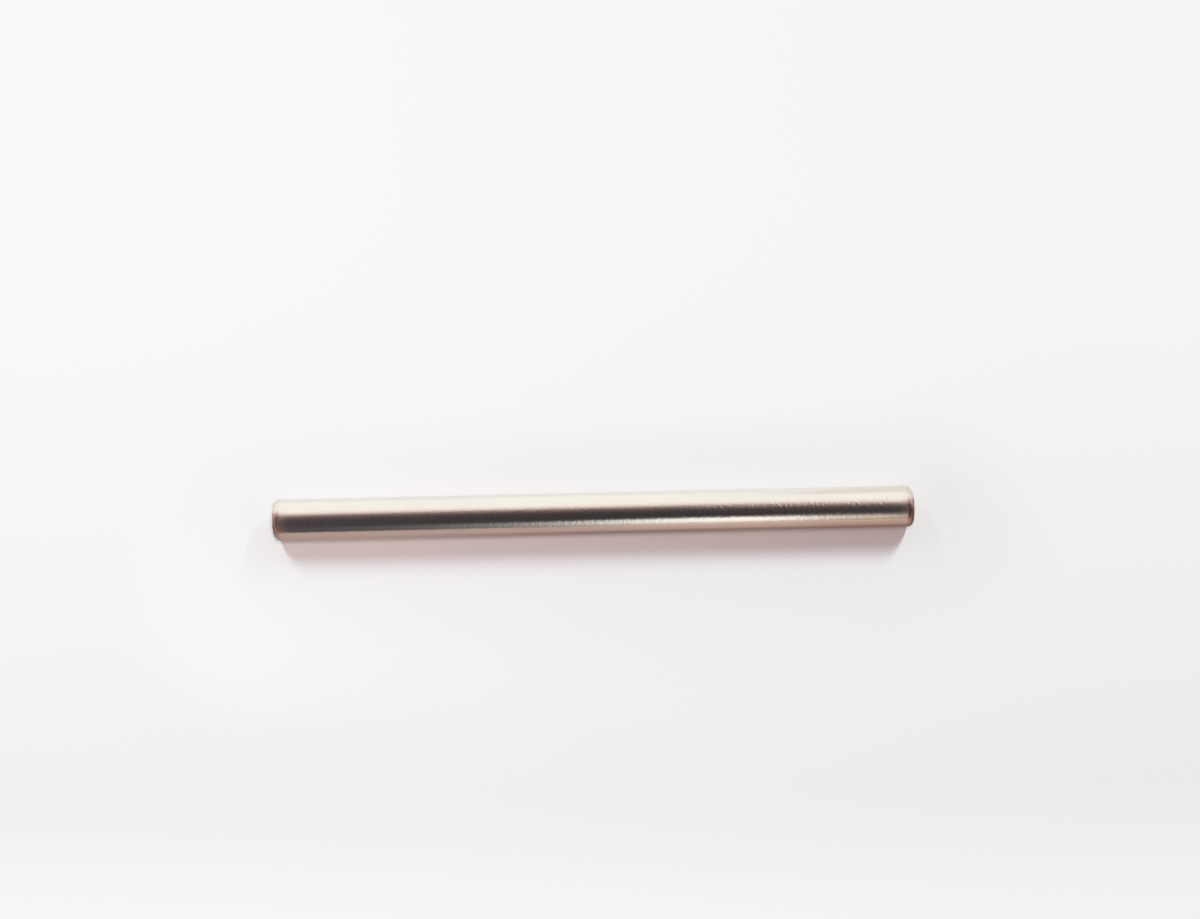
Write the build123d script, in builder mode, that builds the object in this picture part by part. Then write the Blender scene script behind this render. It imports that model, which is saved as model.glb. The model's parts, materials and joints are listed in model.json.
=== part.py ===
from build123d import *
import os

# A float pin: the plain straight shaft that a carburettor float swings on. It is slid through
# two posts of the carburettor body and the float's arm between them, so it has no head,
# groove, flat or thread. It is cut from ground steel rod and tumbled, which rounds the edge of
# each end and leaves a small flat face in the middle.
#
# X runs along the pin, Z is up, and the origin is on the axis, halfway along.

# Driving dimensions, in millimetres
pin_diameter = 2.0
pin_length = 31.0  # over the two end faces
end_edge_radius = 0.45  # where the wall turns into each end face

# Derived dimensions
pin_radius = pin_diameter / 2
half_length = pin_length / 2
end_face_radius = pin_radius - end_edge_radius
straight_half_length = half_length - end_edge_radius

# The pin is its own half section, turned about X: an end face, the rounded edge, the
# straight wall, the other rounded edge and the other end face.
with BuildPart() as float_pin:
    with BuildSketch(Plane.XZ):
        with BuildLine():
            left_face = Line((-half_length, 0), (-half_length, end_face_radius))
            left_edge = RadiusArc(left_face @ 1, (-straight_half_length, pin_radius), end_edge_radius)
            wall = Line(left_edge @ 1, (straight_half_length, pin_radius))
            right_edge = RadiusArc(wall @ 1, (half_length, end_face_radius), end_edge_radius)
            right_face = Line(right_edge @ 1, (half_length, 0))
            Line(right_face @ 1, left_face @ 0)
        make_face()
    revolve(axis=Axis.X)

float_pin.part.label = "float_pin"

os.makedirs("parts", exist_ok=True)
export_step(float_pin.part, "parts/float_pin.step")
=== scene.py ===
import json
import math

import bpy
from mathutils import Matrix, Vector


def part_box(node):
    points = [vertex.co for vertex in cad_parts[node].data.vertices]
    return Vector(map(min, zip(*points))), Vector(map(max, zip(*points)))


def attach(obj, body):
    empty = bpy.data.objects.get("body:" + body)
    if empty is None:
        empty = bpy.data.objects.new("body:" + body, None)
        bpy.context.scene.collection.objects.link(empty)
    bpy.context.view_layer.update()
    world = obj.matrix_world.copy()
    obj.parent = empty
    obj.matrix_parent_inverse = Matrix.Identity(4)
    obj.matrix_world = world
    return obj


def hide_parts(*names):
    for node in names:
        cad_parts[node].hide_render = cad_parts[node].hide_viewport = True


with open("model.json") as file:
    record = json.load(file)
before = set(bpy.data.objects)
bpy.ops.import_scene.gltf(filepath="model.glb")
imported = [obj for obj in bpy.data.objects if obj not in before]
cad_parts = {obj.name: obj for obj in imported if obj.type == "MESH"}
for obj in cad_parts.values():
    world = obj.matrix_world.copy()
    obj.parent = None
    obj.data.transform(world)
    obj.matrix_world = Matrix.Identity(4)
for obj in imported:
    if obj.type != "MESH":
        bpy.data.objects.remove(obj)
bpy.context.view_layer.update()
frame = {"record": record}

# A bright steel float pin lying on a pale table. X runs along the pin, Z is up and lengths are in
# metres. Its sizes come from the frame: the wall's length is the running length of its mount.
PIN = "float_pin"
MM = 0.001
low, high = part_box(PIN)
radius = (high.z - low.z) / 2
half_length = (high.x - low.x) / 2
mounts = {mount["name"]: mount for mount in frame["record"]["mounts"]}
half_wall = mounts["hinge_pin"]["dims"]["length_mm"] * MM / 2
edge_radius = half_length - half_wall
face_radius = radius - edge_radius

SEGMENTS = 128  # round the pin
WALL_PARTS = 4  # stretches of the wall, each with its own place in the UV map
RINGS_IN_PART = 8
WALL_RINGS = WALL_PARTS * RINGS_IN_PART
EDGE_RINGS = 16
FACE_RINGS = 5
END_RINGS = FACE_RINGS + EDGE_RINGS
RING_COUNT = 2 * END_RINGS + WALL_RINGS - 1
FIRST_WALL = END_RINGS - 1  # the rings where the wall begins and ends
LAST_WALL = FIRST_WALL + WALL_RINGS
DOME = 0.05 * MM  # how far each end face would bulge if it went on to the full radius
UV_SCALE = 0.0605 / MM  # UV units for a metre of surface
UV_GAP = 0.02


# ---------------------------------------------------------------- small helpers
def new_material(name):
    """An empty node material, with its node tree and output node."""
    material = bpy.data.materials.new(name)
    material.use_nodes = True
    material.node_tree.nodes.clear()
    output = material.node_tree.nodes.new("ShaderNodeOutputMaterial")
    return material, material.node_tree, output


def add_node(tree, kind, **settings):
    """A new node. Settings are the node's own properties."""
    node = tree.nodes.new("ShaderNode" + kind)
    for name, value in settings.items():
        setattr(node, name, value)
    return node


def set_input(tree, socket, value):
    """Links a socket of another node to this one, or sets its value. A colour is (red, green, blue)."""
    if isinstance(value, bpy.types.NodeSocket):
        tree.links.new(value, socket)
    elif socket.type == "RGBA":
        socket.default_value = (*value, 1.0)
    else:
        socket.default_value = value


def feed(tree, node, **inputs):
    """Sets or links a node's inputs, named with underscores for spaces."""
    for name, value in inputs.items():
        set_input(tree, node.inputs[name.replace("_", " ")], value)
    return node


def math_node(tree, operation, *values):
    """The result of a math operation on numbers or sockets."""
    node = add_node(tree, "Math", operation=operation)
    for socket, value in zip(node.inputs, values):
        set_input(tree, socket, value)
    return node.outputs[0]


def ramp_between(tree, value, start, end, to_low=0.0, to_high=1.0):
    """A smooth step of value, from to_low at start to to_high at end."""
    node = add_node(tree, "MapRange", interpolation_type="SMOOTHSTEP")
    feed(tree, node, Value=value, From_Min=start, From_Max=end, To_Min=to_low, To_Max=to_high)
    return node.outputs["Result"]


def mix_numbers(tree, factor, first, second):
    """The number that lies by factor between first and second."""
    node = add_node(tree, "Mix", data_type="FLOAT")
    return feed(tree, node, Factor=factor, A=first, B=second).outputs[0]


def mix_colours(tree, factor, first, second, blend="MIX"):
    """The blend of two colours, given as sockets or as (red, green, blue)."""
    node = add_node(tree, "Mix", data_type="RGBA", blend_type=blend)
    # A Mix node has sockets for every type, so those for colours are chosen by their place in its lists.
    for index, value in ((0, factor), (6, first), (7, second)):
        set_input(tree, node.inputs[index], value)
    return node.outputs[2]


def colour_stops(tree, value, stops):
    """The colour of value between stops, each a (value, colour) pair."""
    lowest, highest = stops[0][0], stops[-1][0]
    share = feed(tree, add_node(tree, "MapRange"), Value=value, From_Min=lowest, From_Max=highest)
    ramp = add_node(tree, "ValToRGB")
    elements = ramp.color_ramp.elements
    while len(elements) < len(stops):
        elements.new(0.5)
    for element, (place, colour) in zip(elements, stops):
        element.position = (place - lowest) / (highest - lowest)
        element.color = (*colour, 1.0)
    return feed(tree, ramp, Fac=share.outputs["Result"]).outputs["Color"]


def stretched_noise(tree, place, scale, detail=2.0, roughness=0.5):
    """Noise of place, which is scaled by a different number along X, Y and Z."""
    mapping = feed(tree, add_node(tree, "Mapping"), Vector=place, Scale=scale)
    noise = add_node(tree, "TexNoise")
    feed(tree, noise, Vector=mapping.outputs[0], Scale=1.0, Detail=detail, Roughness=roughness)
    return noise.outputs["Fac"]


# ---------------------------------------------------------------- the pin's mesh
def left_rounding(angle):
    """The left end is tumbled a little rounder towards the front than behind."""
    return edge_radius * (0.80 - 0.16 * math.cos(angle - 0.3) + 0.02 * math.sin(3 * angle))


def right_rounding(angle):
    """The right end is tumbled rounder at its upper back."""
    return edge_radius * (0.84 + 0.14 * math.cos(angle - 0.5) + 0.02 * math.sin(3 * angle + 1.0))


def end_profile(rounding):
    """(distance in from the end, distance from the axis) of the rings from the face's middle to the wall."""
    flat = radius - rounding
    rings = []
    for i in range(1, FACE_RINGS + 1):
        out = flat * i / FACE_RINGS
        rings.append((DOME * (out / radius) ** 2, out))
    start = rings[-1][0]
    for i in range(1, EDGE_RINGS + 1):
        turn = math.pi / 2 * i / EDGE_RINGS
        inward = start + (rounding - start) * (1 - math.cos(turn))
        rings.append((inward, flat + rounding * math.sin(turn)))
    return rings


def pin_points():
    """The middle of the left end, every ring's points from left to right, and the middle of the right end."""
    angles = [2 * math.pi * s / SEGMENTS for s in range(SEGMENTS)]
    left_rings = list(zip(*(end_profile(left_rounding(angle)) for angle in angles)))
    right_rings = list(zip(*(end_profile(right_rounding(angle)) for angle in angles)))
    rings = [[(-half_length + inward, out) for inward, out in ring] for ring in left_rings]
    for step in range(1, WALL_RINGS):
        rings.append([(half_wall * (2 * step / WALL_RINGS - 1), radius)] * SEGMENTS)
    rings += [[(half_length - inward, out) for inward, out in ring] for ring in reversed(right_rings)]
    points = [(-half_length, 0.0, 0.0)]
    for ring in rings:
        for (x, out), angle in zip(ring, angles):
            points.append((x, out * math.cos(angle), out * math.sin(angle)))
    points.append((half_length, 0.0, 0.0))
    return points


def pin_corners():
    """Every face as its (ring, segment) corners. Rings -1 and RING_COUNT are the middles of the ends."""
    last = RING_COUNT - 1
    corners = [((-1, s), (0, s + 1), (0, s)) for s in range(SEGMENTS)]
    for ring in range(last):
        for s in range(SEGMENTS):
            corners.append(((ring, s), (ring, s + 1), (ring + 1, s + 1), (ring + 1, s)))
    corners += [((RING_COUNT, s), (last, s), (last, s + 1)) for s in range(SEGMENTS)]
    return corners


def point_index(ring, s):
    """Where a corner's point stands in the list of points."""
    if ring < 0:
        return 0
    if ring == RING_COUNT:
        return 1 + RING_COUNT * SEGMENTS
    return 1 + ring * SEGMENTS + s % SEGMENTS


def make_pin():
    """The pin as one closed mesh of rings about X, with its wall and its ends unrolled in a UV map."""
    corners = pin_corners()
    faces = [tuple(point_index(*corner) for corner in around) for around in corners]
    mesh = bpy.data.meshes.new("float_pin_steel")
    mesh.from_pydata(pin_points(), [], faces)
    mesh.polygons.foreach_set("use_smooth", [True] * len(faces))
    lay_out_uv(mesh, corners)
    mesh.update()
    pin = bpy.data.objects.new("pin_body", mesh)
    bpy.context.scene.collection.objects.link(pin)
    return pin


def lay_out_uv(mesh, corners):
    """Two rows of two wall stretches, side by side, with the two unrolled ends above them."""
    part_length = 2 * half_wall / WALL_PARTS
    girth = 2 * math.pi * radius
    rolled_out = [face_radius * i / FACE_RINGS for i in range(FACE_RINGS + 1)]
    rolled_out += [face_radius + edge_radius * math.pi / 2 * i / EDGE_RINGS for i in range(1, EDGE_RINGS + 1)]
    cap = rolled_out[-1] * UV_SCALE
    cap_row = 3 * UV_GAP + 2 * girth * UV_SCALE + cap
    layer = mesh.uv_layers.new(name="OFBake")

    def on_cap(side, ring, s):
        out = rolled_out[ring + 1] * UV_SCALE
        angle = 2 * math.pi * s / SEGMENTS
        middle = UV_GAP + cap + side * (2 * cap + UV_GAP)
        return (middle + out * math.cos(angle), cap_row + out * math.sin(angle))

    def on_wall(part, ring, s):
        along = (ring - FIRST_WALL) / RINGS_IN_PART - part
        column, row = part % 2, part // 2
        u = UV_GAP + column * (part_length * UV_SCALE + UV_GAP) + along * part_length * UV_SCALE
        v = UV_GAP + row * (girth * UV_SCALE + UV_GAP) + s / SEGMENTS * girth * UV_SCALE
        return (u, v)

    for polygon, around in zip(mesh.polygons, corners):
        rings = [ring for ring, _ in around]
        for loop, (ring, s) in zip(polygon.loop_indices, around):
            if max(rings) <= FIRST_WALL:
                place = on_cap(0, ring, s)
            elif min(rings) >= LAST_WALL:
                place = on_cap(1, RING_COUNT - 1 - ring, -s)
            else:
                place = on_wall((min(rings) - FIRST_WALL) // RINGS_IN_PART, ring, s)
            layer.data[loop].uv = place


# ---------------------------------------------------------------- the pin's steel
def end_tint_and_reflection(tree, split, cloud):
    """How much brown is painted on the ends, from 0 to 1: partly their own tint and partly a painted
    reflection of the brown room, the most on their upper front.
    """
    front = ramp_between(tree, split.outputs["Y"], 0.25 * radius, -0.05 * radius)
    low_front = ramp_between(tree, split.outputs["Y"], -0.98 * radius, -0.75 * radius, 0.45, 1.0)
    upper = ramp_between(tree, split.outputs["Z"], -0.3 * radius, 0.1 * radius, 0.35, 1.0)
    side = math_node(tree, "MULTIPLY", math_node(tree, "MULTIPLY", front, low_front), upper)
    broken = ramp_between(tree, cloud, 0.3, 0.6, 0.75, 1.0)
    return math_node(tree, "MULTIPLY", math_node(tree, "MAXIMUM", side, 0.15), broken)


def steel_colour(tree, coordinates, split, inset, rounded, cloud):
    """Clouded bright steel, with brown painted on the rounded edges and darker at their rims, partly a tint
    and partly a painted reflection of the brown room, and dull on the end faces.
    """
    outermost = ramp_between(tree, inset, 0.20 * MM, 0.05 * MM)
    face = ramp_between(tree, inset, 0.02 * MM, 0.008 * MM)
    blotch = stretched_noise(tree, coordinates, (2600, 2600, 2600), detail=3.0)
    tint_and_reflection = end_tint_and_reflection(tree, split, blotch)
    # The ends' painted reflection is lighter at the left and darker at the right, as the room is.
    right_half = ramp_between(tree, split.outputs["X"], -MM, MM)
    brown_tint_and_reflection = mix_colours(tree, right_half, (0.58, 0.37, 0.31), (0.43, 0.275, 0.25))
    face_steel = mix_colours(tree, blotch, (0.50, 0.42, 0.36), (0.34, 0.26, 0.21))
    clouded = ramp_between(tree, cloud, 0.35, 0.7)
    steel = mix_colours(tree, clouded, (0.785, 0.745, 0.69), (0.775, 0.73, 0.675))
    # Brown on the rounded edges and darker at their rims: partly a tint, partly a painted reflection.
    tinted = mix_colours(tree, math_node(tree, "MULTIPLY", rounded, tint_and_reflection), steel, brown_tint_and_reflection)
    dark_rim_tint_and_reflection = mix_colours(tree, math_node(tree, "MULTIPLY", outermost, tint_and_reflection), tinted, (0.25, 0.145, 0.115))
    return mix_colours(tree, face, dark_rim_tint_and_reflection, face_steel)


def steel_roughness(tree, inset, cloud, grain):
    """Smooth along the wall and matt at the ends."""
    worn = ramp_between(tree, inset, 1.2 * MM, 0.2 * MM)
    wall_roughness = ramp_between(tree, cloud, 0.3, 0.75, 0.10, 0.14)
    end_roughness = ramp_between(tree, grain, 0.3, 0.7, 0.24, 0.36)
    return mix_numbers(tree, worn, wall_roughness, end_roughness)


def steel_bump(tree, coordinates, split, rounded, grain):
    """A ripple, weaker at the left, under a fine lay round the wall or a fine grain on the rounded ends."""
    ripple = stretched_noise(tree, coordinates, (6000, 6000, 6000), detail=2.0)
    lay = stretched_noise(tree, coordinates, (15000, 1800, 1800), detail=2.0, roughness=0.6)
    rippled = ramp_between(tree, split.outputs["X"], -9 * MM, -3 * MM, 0.55, 1.0)
    fine = mix_numbers(tree, rounded, lay, grain)
    coarse = feed(tree, add_node(tree, "Bump"), Strength=rippled, Distance=6e-6, Height=ripple)
    both = feed(tree, add_node(tree, "Bump"), Strength=1.0, Distance=1.5e-6, Height=fine)
    return feed(tree, both, Normal=coarse.outputs[0]).outputs[0]


def ground_steel():
    """Bright ground steel: a fine uneven lay round the pin, and dull ends, browned partly by a tint and
    partly by a painted reflection of the brown room.
    """
    material, tree, output = new_material("ground_steel")
    coordinates = add_node(tree, "TexCoord").outputs["Object"]
    split = feed(tree, add_node(tree, "SeparateXYZ"), Vector=coordinates)
    inset = math_node(tree, "SUBTRACT", half_length, math_node(tree, "ABSOLUTE", split.outputs["X"]))
    rounded = ramp_between(tree, inset, 0.44 * MM, 0.28 * MM)
    cloud = stretched_noise(tree, coordinates, (300, 700, 700), detail=3.0)
    grain = stretched_noise(tree, coordinates, (14000, 14000, 14000), detail=3.0, roughness=0.6)

    shader = add_node(tree, "BsdfPrincipled")
    feed(tree, shader, Base_Color=steel_colour(tree, coordinates, split, inset, rounded, cloud), Metallic=1.0)
    feed(tree, shader, Roughness=steel_roughness(tree, inset, cloud, grain))
    feed(tree, shader, Normal=steel_bump(tree, coordinates, split, rounded, grain))
    tree.links.new(shader.outputs[0], output.inputs["Surface"])
    return material


# ---------------------------------------------------------------- the table
def painted_table_reflection(tree, split):
    """A painted reflection of the table, a glow that only the steel sees: painted shadow, brown and dark,
    close in front of the pin, and pale behind it.
    """
    along, across = split.outputs["X"], split.outputs["Y"]
    to_right = ramp_between(tree, along, -3.5 * MM, 5 * MM)
    far = mix_colours(tree, to_right, (0.51, 0.41, 0.39), (0.80, 0.64, 0.57))
    middle = mix_colours(tree, to_right, (0.56, 0.425, 0.40), (0.615, 0.45, 0.40))
    # Painted shadow of the pin in the reflection, deeper towards the right.
    darker = ramp_between(tree, along, -14 * MM, 3 * MM)
    painted_contact_shadow = mix_colours(tree, darker, (0.48, 0.35, 0.33), (0.30, 0.20, 0.185))
    near = mix_colours(tree, ramp_between(tree, across, -3.2 * MM, -1.1 * MM), middle, painted_contact_shadow)
    front = mix_colours(tree, ramp_between(tree, across, -11 * MM, -3.9 * MM), far, near)
    front = mix_colours(tree, ramp_between(tree, across, -14 * MM, -50 * MM), front, (0.16, 0.13, 0.12))
    # Painted shade on the reflection near the right end.
    right_end = ramp_between(tree, along, 8 * MM, 13 * MM)
    front = mix_colours(tree, right_end, front, (0.91, 0.87, 0.80), blend="MULTIPLY")
    # Painted light: the reflected table glows brighter further behind the pin.
    further = ramp_between(tree, across, 2 * MM, 10 * MM)
    behind = mix_colours(tree, further, (0.97, 0.97, 0.96), (1.10, 1.11, 1.10))
    behind = mix_colours(tree, ramp_between(tree, along, 11 * MM, 14 * MM), behind, (0.95, 0.92, 0.90))
    return mix_colours(tree, ramp_between(tree, across, -radius, radius), front, behind)


def clear_distance(tree, coordinates):
    """How far a place on the table is from the line of the pin's shadow, which is as long as the pin."""
    forward = 2.5 * MM  # from under the pin's axis to that line
    place = coordinates
    steps = (
        ("MULTIPLY", (1.0, 1.0, 0.0)),
        ("ADD", (0.0, forward, 0.0)),
        ("ABSOLUTE",),
        ("SUBTRACT", (half_length, 0.0, 0.0)),
        ("MAXIMUM", (0.0, 0.0, 0.0)),
    )
    for operation, *amount in steps:
        node = add_node(tree, "VectorMath", operation=operation)
        for socket, value in zip(node.inputs, (place, *amount)):
            set_input(tree, socket, value)
        place = node.outputs["Vector"]
    length = add_node(tree, "VectorMath", operation="LENGTH")
    tree.links.new(place, length.inputs[0])
    return length.outputs["Value"]


def paper_with_painted_tint(tree, coordinates, split):
    """White paper with faint clouds, and a painted tint of the lamps' light across it: a little bluer at the
    left and pinker at the right.
    """
    to_middle = ramp_between(tree, split.outputs["X"], -28 * MM, 0)
    from_middle = ramp_between(tree, split.outputs["X"], 0, 28 * MM)
    # Painted tint of light: bluer at the left, pinker at the right.
    left = mix_colours(tree, to_middle, (0.89, 0.90, 0.905), (0.925, 0.885, 0.885))
    sheet = mix_colours(tree, from_middle, left, (0.955, 0.845, 0.84))
    cloud = stretched_noise(tree, coordinates, (60, 60, 60), detail=3.0)
    clouded = mix_colours(tree, cloud, (0.99, 0.99, 0.99), (1.0, 1.0, 1.0))
    return mix_colours(tree, 1.0, sheet, clouded, blend="MULTIPLY")


def backdrop_with_painted_falloff(tree, split, away):
    """The pale backdrop that the camera sees, with a painted falloff of light: lighter behind and at the
    left, and one colour far off.
    """
    along, across = split.outputs["X"], split.outputs["Y"]
    # Painted light: the backdrop is lighter behind and at the left.
    behind = ramp_between(tree, across, -24 * MM, 18 * MM)
    backdrop = mix_colours(tree, behind, (0.865, 0.845, 0.85), (0.945, 0.94, 0.943))
    before = ramp_between(tree, across, -13 * MM, -20 * MM)
    backdrop = mix_colours(tree, before, backdrop, (0.925, 0.915, 0.922))
    to_right = ramp_between(tree, along, -28 * MM, 28 * MM)
    sideways = mix_colours(tree, to_right, (1.012, 1.015, 1.012), (0.97, 0.96, 0.963))
    backdrop = mix_colours(tree, 1.0, backdrop, sideways, blend="MULTIPLY")
    return mix_colours(tree, ramp_between(tree, away, 35 * MM, 160 * MM), backdrop, (0.925, 0.92, 0.92))


def pale_table():
    """Lit paper near the pin, a backdrop for the camera further out, and a painted reflection of the table
    for the steel.
    """
    material, tree, output = new_material("pale_table")
    coordinates = add_node(tree, "TexCoord").outputs["Object"]
    split = feed(tree, add_node(tree, "SeparateXYZ"), Vector=coordinates)
    paper = add_node(tree, "BsdfPrincipled")
    feed(tree, paper, Base_Color=paper_with_painted_tint(tree, coordinates, split))
    feed(tree, paper, Roughness=0.9, Specular_IOR_Level=0.1)
    away = clear_distance(tree, coordinates)
    far = ramp_between(tree, away, 3 * MM, 8.5 * MM)
    backdrop = backdrop_with_painted_falloff(tree, split, away)
    path = add_node(tree, "LightPath")
    # The steel sees the table's painted reflection as a glow, and the camera sees the backdrop.
    shown = mix_colours(tree, path.outputs["Is Glossy Ray"], backdrop, painted_table_reflection(tree, split))
    glow = feed(tree, add_node(tree, "Emission"), Color=shown, Strength=1.0)
    glowing = math_node(tree, "MULTIPLY", far, path.outputs["Is Camera Ray"])
    choice = add_node(tree, "MixShader")
    tree.links.new(math_node(tree, "MAXIMUM", glowing, path.outputs["Is Glossy Ray"]), choice.inputs[0])
    tree.links.new(paper.outputs[0], choice.inputs[1])
    tree.links.new(glow.outputs[0], choice.inputs[2])
    tree.links.new(choice.outputs[0], output.inputs["Surface"])
    return material


def make_table():
    """A wide flat table that the pin lies on."""
    reach = 1.5
    z = low.z
    mesh = bpy.data.meshes.new("table_top")
    points = [(-reach, -reach, z), (reach, -reach, z), (reach, reach, z), (-reach, reach, z)]
    mesh.from_pydata(points, [], [(0, 1, 2, 3)])
    mesh.materials.append(pale_table())
    table = bpy.data.objects.new("table_top", mesh)
    bpy.context.scene.collection.objects.link(table)


# ---------------------------------------------------------------- the room that the steel mirrors
# The room from the horizon in front of the pin, overhead, to the horizon behind: (degrees up from the
# front horizon, colour). The wall behind is bright, and the front and the ceiling are dark.
ROOM = [
    (0, (0.056, 0.051, 0.056)),
    (57, (0.050, 0.046, 0.049)),
    (72, (0.069, 0.054, 0.056)),
    (80, (0.10, 0.075, 0.077)),
    (87, (0.155, 0.115, 0.113)),
    (93, (0.25, 0.185, 0.18)),
    (98, (0.41, 0.325, 0.305)),
    (103, (0.67, 0.56, 0.525)),
    (108, (0.92, 0.80, 0.75)),
    (114, (1.08, 0.99, 0.93)),
    (124, (1.16, 1.15, 1.10)),
    (180, (1.16, 1.19, 1.17)),
]


def room_height(tree, split, sideways):
    """Degrees up from the front horizon, shifted a little for what lies to the left and right."""
    forward = math_node(tree, "MULTIPLY", split.outputs["Y"], -1.0)
    height = math_node(tree, "ARCTAN2", split.outputs["Z"], forward)
    shift = ramp_between(tree, split.outputs["X"], 0.01, 0.04, 0.0, math.radians(-3))
    further_shifts = (
        ramp_between(tree, split.outputs["X"], 0.055, 0.105, 0.0, math.radians(15)),
        ramp_between(tree, split.outputs["X"], -0.05, -0.09, 0.0, math.radians(2.5)),
        ramp_between(tree, sideways, 0.15, 0.42, 0.0, math.radians(-7)),
    )
    for further in further_shifts:
        shift = math_node(tree, "ADD", shift, further)
    return math_node(tree, "MULTIPLY", math_node(tree, "ADD", height, shift), 180 / math.pi)


def room_walls(tree, split):
    """The room as the steel shows it, with a brown pillar towards each end of the pin and a wall past it."""
    sideways = math_node(tree, "ABSOLUTE", split.outputs["X"])
    room = colour_stops(tree, room_height(tree, split, sideways), ROOM)
    haze = ramp_between(tree, split.outputs["X"], -0.055, -0.09)
    ahead = mix_colours(tree, haze, room, (0.035, 0.026, 0.032), blend="ADD")
    left_or_right = ramp_between(tree, split.outputs["X"], -0.1, 0.1)
    pillar = mix_colours(tree, left_or_right, (0.36, 0.28, 0.27), (0.24, 0.15, 0.14))
    inner = ramp_between(tree, sideways, 0.2, 0.38)
    outer = ramp_between(tree, sideways, 0.62, 0.52)
    ahead = mix_colours(tree, math_node(tree, "MULTIPLY", inner, outer), ahead, pillar, blend="LIGHTEN")
    level_wall = mix_colours(tree, left_or_right, (0.42, 0.365, 0.345), (0.13, 0.10, 0.095))
    raised = ramp_between(tree, split.outputs["Z"], 0.0, 0.55)
    end_wall = mix_colours(tree, raised, level_wall, (0.12, 0.105, 0.105))
    return mix_colours(tree, ramp_between(tree, sideways, 0.68, 0.9), ahead, end_wall, blend="LIGHTEN")


def make_room():
    """The world: a room for the steel, an even light for the table and a pale background for the camera."""
    world = bpy.data.worlds.new("room")
    bpy.context.scene.world = world
    world.use_nodes = True
    tree = world.node_tree
    tree.nodes.clear()
    direction = add_node(tree, "TexCoord").outputs["Generated"]
    split = feed(tree, add_node(tree, "SeparateXYZ"), Vector=direction)
    path = add_node(tree, "LightPath")
    lit = mix_colours(tree, path.outputs["Is Glossy Ray"], (0.26, 0.25, 0.25), room_walls(tree, split))
    colour = mix_colours(tree, path.outputs["Is Camera Ray"], lit, (0.925, 0.92, 0.92))
    background = feed(tree, add_node(tree, "Background"), Color=colour, Strength=1.0)
    output = add_node(tree, "OutputWorld")
    tree.links.new(background.outputs[0], output.inputs["Surface"])


# The cards that the steel mirrors. Levels are (degrees above the pin's axis, colour) and strengths are
# (place along X, strength). The bright card and the dull card meet near the pin's right end.
CARD_DISTANCE = 0.05  # in front of the pin or behind it
BRIGHT_LEVELS = [
    (-0.75, (0.84, 0.73, 0.66)),
    (3, (0.90, 0.81, 0.75)),
    (9, (1.08, 1.03, 0.97)),
    (15, (1.22, 1.21, 1.17)),
    (24, (1.22, 1.21, 1.17)),
    (29, (1.00, 0.98, 0.96)),
    (33, (0.40, 0.38, 0.38)),
    (37, (0.11, 0.10, 0.105)),
    (44, (0.0, 0.0, 0.0)),
]
BRIGHT_STRENGTHS = [
    (-0.022, 0.0),
    (-0.012, 0.05),
    (-0.006, 0.15),
    (-0.003, 0.28),
    (0.001, 0.58),
    (0.004, 0.88),
    (0.0075, 1.02),
    (0.0144, 1.0),
]
DULL_LEVELS = [
    (-0.75, (0.52, 0.38, 0.28)),
    (7, (0.59, 0.47, 0.38)),
    (14, (0.72, 0.63, 0.56)),
    (20, (0.64, 0.57, 0.53)),
    (27, (0.34, 0.31, 0.285)),
    (33, (0.14, 0.13, 0.12)),
    (41, (0.03, 0.025, 0.025)),
    (50, (0.0, 0.0, 0.0)),
]
DULL_STRENGTHS = [(0.0144, 1.0), (0.018, 1.0), (0.024, 0.6), (0.032, 0.12), (0.045, 0.0)]
CREAM_LEVELS = [(-1, (0.95, 0.93, 0.92)), (22, (0.98, 0.965, 0.95)), (28, (1.10, 1.11, 1.10))]
CREAM_STRENGTHS = [(0.013, 1.0), (0.10, 1.0)]


def glowing_card(name, levels, strengths, clear):
    """A card's glow, from (height, colour) and (place along X, strength) pairs.

    A clear card adds its glow to what is behind it.
    """
    material, tree, output = new_material(name)
    coordinates = add_node(tree, "TexCoord").outputs["Object"]
    split = feed(tree, add_node(tree, "SeparateXYZ"), Vector=coordinates)
    lowered = ramp_between(tree, split.outputs["X"], 6 * MM, -3 * MM, 0.0, 3.5 * MM)  # more at the left
    colour = colour_stops(tree, math_node(tree, "ADD", split.outputs["Z"], lowered), levels)
    strength = colour_stops(tree, split.outputs["X"], [(x, (level, level, level)) for x, level in strengths])
    glow = mix_colours(tree, 1.0, colour, strength, blend="MULTIPLY")
    emission = feed(tree, add_node(tree, "Emission"), Color=glow)
    both = add_node(tree, "AddShader")
    tree.links.new(emission.outputs[0], both.inputs[0])
    if clear:
        tree.links.new(add_node(tree, "BsdfTransparent").outputs[0], both.inputs[1])
    tree.links.new(both.outputs[0], output.inputs["Surface"])
    return material


def add_card(name, y, levels, strengths, clear):
    """An upright card that only the steel mirrors. Its levels are (degrees above the pin's axis, colour)."""
    heights = []
    for degrees, colour in levels:
        heights.append((low.z + radius + abs(y) * math.tan(math.radians(degrees)), colour))
    left, right = strengths[0][0], strengths[-1][0]
    bottom, top = heights[0][0], heights[-1][0]
    mesh = bpy.data.meshes.new(name)
    points = [(left, y, bottom), (right, y, bottom), (right, y, top), (left, y, top)]
    mesh.from_pydata(points, [], [(0, 1, 2, 3)])
    mesh.materials.append(glowing_card(name, heights, strengths, clear))
    card = bpy.data.objects.new(name, mesh)
    card.visible_camera = False
    card.visible_diffuse = False
    card.visible_transmission = False
    card.visible_shadow = False
    bpy.context.scene.collection.objects.link(card)


def make_cards():
    """Two cards in front, mirrored as a bright line low on the pin, and one behind the pin's right end."""
    add_card("bright_card", -CARD_DISTANCE, BRIGHT_LEVELS, BRIGHT_STRENGTHS, clear=True)
    add_card("dull_card", -CARD_DISTANCE, DULL_LEVELS, DULL_STRENGTHS, clear=True)
    add_card("cream_card", CARD_DISTANCE, CREAM_LEVELS, CREAM_STRENGTHS, clear=False)


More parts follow.
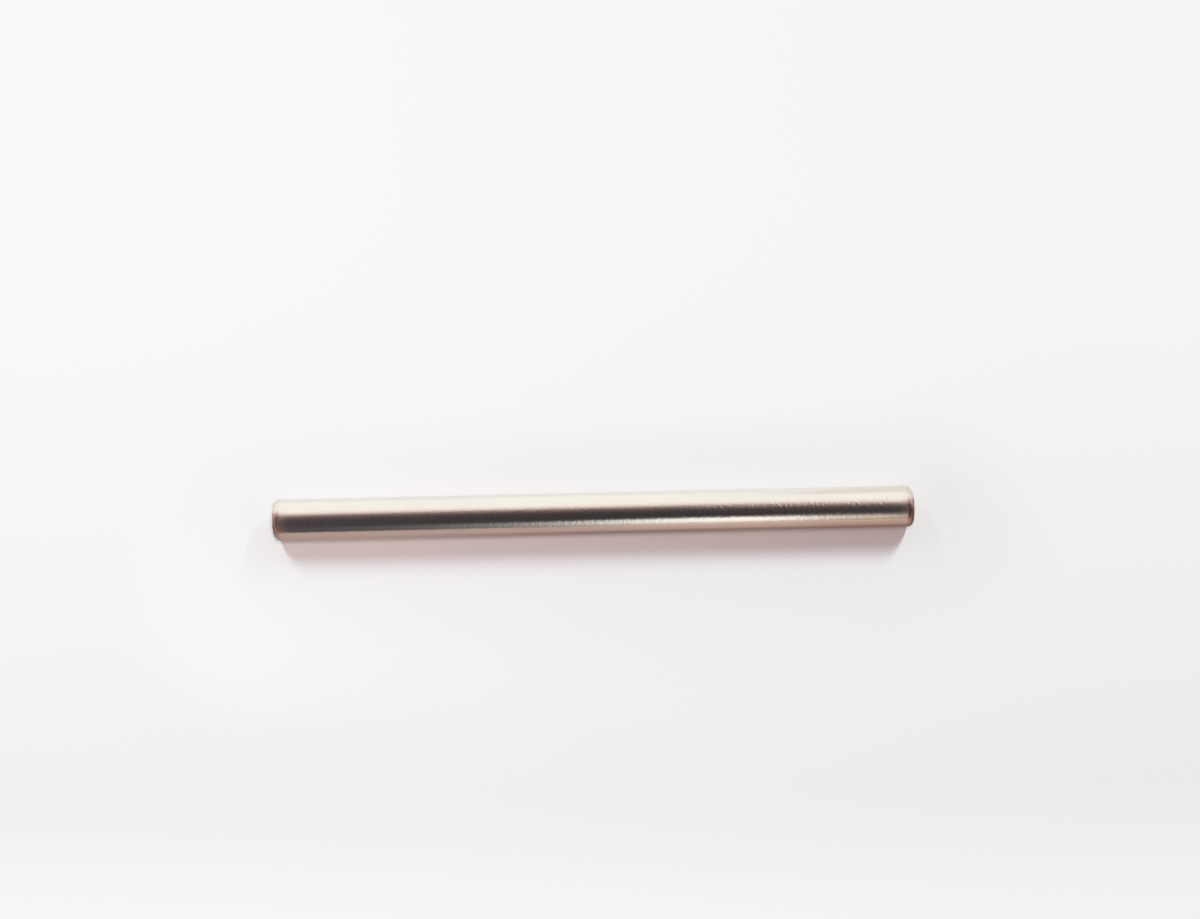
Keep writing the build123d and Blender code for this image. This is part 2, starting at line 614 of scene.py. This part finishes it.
# ---------------------------------------------------------------- lamps and camera
# The lamps behind, from low to high: (name, (Y, Z), right watts, left watts, colour).
PANES = (
    ("low_pane", (0.1540, 0.1440), 0.98, 0.40, (0.55, 0.98, 0.96)),
    ("middle_pane", (0.1335, 0.1630), 1.43, 0.685, (0.895, 0.99, 1.0)),
    ("high_pane", (0.1080, 0.1800), 0.66, 0.98, (0.66, 0.97, 1.0)),
)
PANE_SIZES = (0.05, 0.05)
PANE_ASIDE = 0.12  # how far each pane hangs to its side
PANE_AIM = 0.433  # where it faces, further out still, so that it lights its own end of the pin the most


def add_soft_box(name, place, aim, sizes, power, colour):
    """A lamp that faces aim from its place. It lights the table, but the steel doesn't mirror it."""
    lamp = bpy.data.lights.new(name, "AREA")
    lamp.shape = "RECTANGLE"
    lamp.size, lamp.size_y = sizes
    lamp.energy = power
    lamp.color = colour
    box = bpy.data.objects.new(name, lamp)
    box.location = place
    box.rotation_euler = (Vector(place) - Vector(aim)).to_track_quat("Z", "Y").to_euler()
    box.visible_camera = False
    box.visible_glossy = False
    bpy.context.scene.collection.objects.link(box)


def make_lamps():
    """Panes behind, right and left, throw a short shadow, and a fill lamp above the front softens it."""
    add_soft_box("fill_lamp", (0, -0.031, 0.125), (-0.36, 0, 0), (0.048, 0.03), 0.168, (1.0, 0.78, 0.765))
    for name, place, right_power, left_power, colour in PANES:
        for side, side_name, power in ((1, "right", right_power), (-1, "left", left_power)):
            corner = (side * PANE_ASIDE, *place)
            aim = (side * PANE_AIM, 0, 0)
            add_soft_box(f"{name}_{side_name}", corner, aim, PANE_SIZES, power, colour)


def make_camera():
    """Looks down on the pin from the front, with the pin a little below the middle of the picture."""
    azimuth, elevation = math.radians(-1.4), math.radians(71)
    distance = 145.2 * MM
    above, right = 2.598 * MM, 0.315 * MM
    data = bpy.data.cameras.new("camera")
    data.lens = 90
    data.clip_start = 0.005
    data.clip_end = 10
    camera = bpy.data.objects.new("camera", data)
    bpy.context.scene.collection.objects.link(camera)
    level = math.cos(elevation)
    back = Vector((math.sin(azimuth) * level, -math.cos(azimuth) * level, math.sin(elevation)))
    camera.rotation_euler = back.to_track_quat("Z", "Y").to_euler()
    turned = camera.rotation_euler.to_matrix()
    camera.location = back * distance + turned.col[1] * above + turned.col[0] * right
    bpy.context.scene.camera = camera


pin = make_pin()
pin.data.materials.append(ground_steel())
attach(pin, "root")
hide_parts(PIN)
make_table()
make_room()
make_lamps()
make_cards()
make_camera()

bpy.context.scene.view_settings.view_transform = "Standard"
